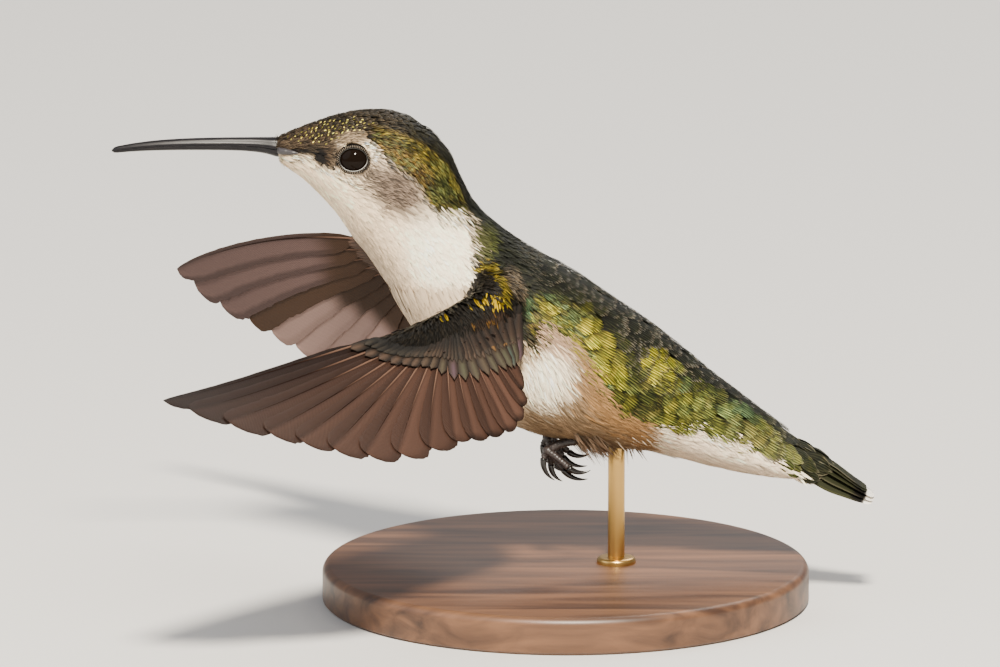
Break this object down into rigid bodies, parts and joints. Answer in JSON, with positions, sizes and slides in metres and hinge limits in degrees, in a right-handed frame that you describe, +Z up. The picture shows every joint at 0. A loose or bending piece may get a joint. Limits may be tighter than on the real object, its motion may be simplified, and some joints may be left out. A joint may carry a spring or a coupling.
{
  "type": "ruby-throated hummingbird",
  "caption": "Life-size female ruby-throated hummingbird, hovering with both wings swept forward, on a round base and a short rod; a still display model.",
  "frame": {"origin": "middle of the display base's underside, on the floor", "axes": "the bird faces -X, +Z is up, its left side is towards -Y"},
  "size_m": [0.0815, 0.0845, 0.0535],
  "materials": {
    "feathers_head": "feathered, dark olive crown and pale throat",
    "feathers_neck": "feathered, green nape and white throat",
    "feathers_trunk": "feathered, green back and pale breast",
    "feathers_rump": "feathered, green rump and white vent",
    "feathers_tail": "feathered, dark green-grey with pale tips",
    "bill_horn": "smooth black horn",
    "eye_dark": "wet, near black",
    "feathers_arm": "feathered, green coverts",
    "feathers_flight": "dusky flight feathers",
    "leg_skin": "dark scaly skin",
    "claw_horn": "smooth black horn",
    "walnut": "satin lacquer",
    "brass": "brushed"
  },
  "bodies": {
    "root": {"head": "feathers_head", "neck": "feathers_neck", "trunk": "feathers_trunk", "rump": "feathers_rump", "tail": "feathers_tail", "bill_upper": "bill_horn", "bill_lower": "bill_horn", "eye_left": "eye_dark", "eye_right": "eye_dark", "wing_left_arm": "feathers_arm", "wing_left_primaries": "feathers_flight", "wing_left_secondaries": "feathers_flight", "leg_left": "leg_skin", "foot_left": "leg_skin", "claw_left_1": "claw_horn", "claw_left_2": "claw_horn", "claw_left_3": "claw_horn", "claw_left_4": "claw_horn", "wing_right_arm": "feathers_arm", "wing_right_primaries": "feathers_flight", "wing_right_secondaries": "feathers_flight", "leg_right": "leg_skin", "foot_right": "leg_skin", "claw_right_1": "claw_horn", "claw_right_2": "claw_horn", "claw_right_3": "claw_horn", "claw_right_4": "claw_horn", "stand_base": "walnut", "stand_rod": "brass"}
  },
  "joints": []
}
